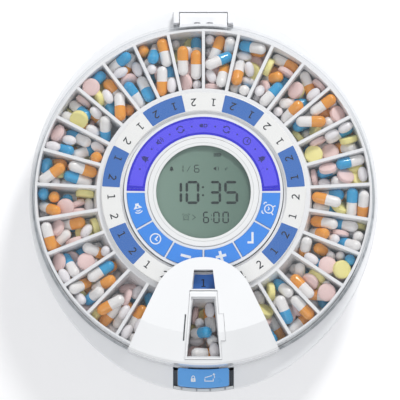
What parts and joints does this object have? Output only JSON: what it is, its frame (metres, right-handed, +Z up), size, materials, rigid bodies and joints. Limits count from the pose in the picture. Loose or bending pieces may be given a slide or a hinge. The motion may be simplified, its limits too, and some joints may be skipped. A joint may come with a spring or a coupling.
{
  "type": "automatic pill dispenser",
  "caption": "Round electronic pill dispenser: a turning tray of wedge compartments under a clear hinged lid with a fan-shaped gate, display, keys and latch.",
  "frame": {"origin": "on the tray's axis, at the height of the feet's undersides", "axes": "+Z up along the tray's axis, -Y towards the latch and gate, +Y towards the lid's hinge"},
  "size_m": [0.193, 0.2156, 0.0555],
  "materials": {
    "white_plastic": "smooth moulded gloss",
    "tray_plastic": "smooth moulded",
    "ring_print": "printed ring, blue and white fields",
    "inner_plastic": "matte moulded",
    "gear_plastic": "natural acetal",
    "clear_plastic": "clear polished",
    "blue_key": "satin blue",
    "violet_light": "translucent violet",
    "display_glass": "grey-green liquid crystal",
    "grip_plastic": "pale satin",
    "rubber": "soft rubber",
    "steel": "bright steel",
    "cell_jacket": "printed metal jacket",
    "circuit_board": "green solder mask",
    "lamp": "clear lamp body"
  },
  "bodies": {
    "case": {"base_shell": "white_plastic", "upper_case": "white_plastic", "hinge_cover": "white_plastic", "case_screws": "steel", "rubber_feet": "rubber", "glide_ring": "gear_plastic", "battery_housing": "inner_plastic", "battery_cells": "cell_jacket", "battery_contacts": "steel", "motor": "steel", "gearbox": "inner_plastic", "motor_screws": "steel", "index_switch": "inner_plastic", "hub_housing": "inner_plastic", "main_board": "circuit_board", "board_screws": "steel", "display": "display_glass", "display_lens": "clear_plastic", "display_bezel": "white_plastic", "console_cover": "white_plastic", "alarm_light": "violet_light", "alarm_lamps": "lamp", "key_membrane": "rubber", "buzzer": "inner_plastic", "tilt_switch": "steel", "hinge_bracket": "white_plastic", "hinge_pin": "steel", "latch_housing": "inner_plastic", "latch_spring": "steel", "grip_ribs": "grip_plastic"},
    "tray": {"tray_floor": "tray_plastic", "tray_outer_wall": "tray_plastic", "tray_inner_wall": "tray_plastic", "tray_web": "tray_plastic", "tray_dividers": "tray_plastic", "tray_gear": "gear_plastic", "dosage_ring": "ring_print"},
    "drive": {"motor_shaft": "steel", "drive_pinion": "gear_plastic"},
    "lid": {"lid_dome": "clear_plastic", "gate_cover": "white_plastic", "flap_pin": "steel", "lid_catch": "white_plastic", "hinge_leaf": "white_plastic", "leaf_screws": "steel"},
    "flap": {"dispensing_flap": "white_plastic", "flap_pane": "clear_plastic"},
    "latch": {"latch_button": "blue_key"},
    "cell_door": {"battery_door": "inner_plastic"},
    "volume_key": {"volume_key": "blue_key"},
    "clock_key": {"clock_key": "blue_key"},
    "minus_key": {"minus_key": "blue_key"},
    "plus_key": {"plus_key": "blue_key"},
    "confirm_key": {"confirm_key": "blue_key"},
    "alarm_key": {"alarm_key": "blue_key"}
  },
  "joints": [
    {"name": "tray_spin", "type": "hinge", "parent": "case", "child": "tray", "pos_m": [0, 0, 0.03], "axis": [0, 0, 1], "continuous": true},
    {"name": "drive_spin", "type": "hinge", "parent": "case", "child": "drive", "pos_m": [-0.052, 0, 0.027], "axis": [0, 0, 1], "continuous": true},
    {"name": "lid_hinge", "type": "hinge", "parent": "case", "child": "lid", "pos_m": [0, 0.1015, 0.035], "axis": [-1, 0, 0], "range_deg": [0, 105]},
    {"name": "flap_hinge", "type": "hinge", "parent": "lid", "child": "flap", "pos_m": [0, -0.0572, 0.0542], "axis": [-1, 0, 0], "range_deg": [0, 110]},
    {"name": "latch_press", "type": "slide", "parent": "case", "child": "latch", "axis": [0, 0, -1], "range_m": [0, 0.002], "stiffness_N_per_m": 300, "springref_m": -0.0005, "deforming": ["latch_spring"]},
    {"name": "cell_door_slide", "type": "slide", "parent": "case", "child": "cell_door", "axis": [0, 1, 0], "range_m": [0, 0.008]},
    {"name": "volume_key_press", "type": "slide", "parent": "case", "child": "volume_key", "axis": [0, 0, -1], "range_m": [0, 0.0008], "stiffness_N_per_m": 400, "springref_m": -0.0003},
    {"name": "clock_key_press", "type": "slide", "parent": "case", "child": "clock_key", "axis": [0, 0, -1], "range_m": [0, 0.0008], "stiffness_N_per_m": 400, "springref_m": -0.0003},
    {"name": "minus_key_press", "type": "slide", "parent": "case", "child": "minus_key", "axis": [0, 0, -1], "range_m": [0, 0.0008], "stiffness_N_per_m": 400, "springref_m": -0.0003},
    {"name": "plus_key_press", "type": "slide", "parent": "case", "child": "plus_key", "axis": [0, 0, -1], "range_m": [0, 0.0008], "stiffness_N_per_m": 400, "springref_m": -0.0003},
    {"name": "confirm_key_press", "type": "slide", "parent": "case", "child": "confirm_key", "axis": [0, 0, -1], "range_m": [0, 0.0008], "stiffness_N_per_m": 400, "springref_m": -0.0003},
    {"name": "alarm_key_press", "type": "slide", "parent": "case", "child": "alarm_key", "axis": [0, 0, -1], "range_m": [0, 0.0008], "stiffness_N_per_m": 400, "springref_m": -0.0003}
  ],
  "couplings": [
    {"joint": "drive_spin", "follows": "tray_spin", "ratio": 9.6667}
  ]
}
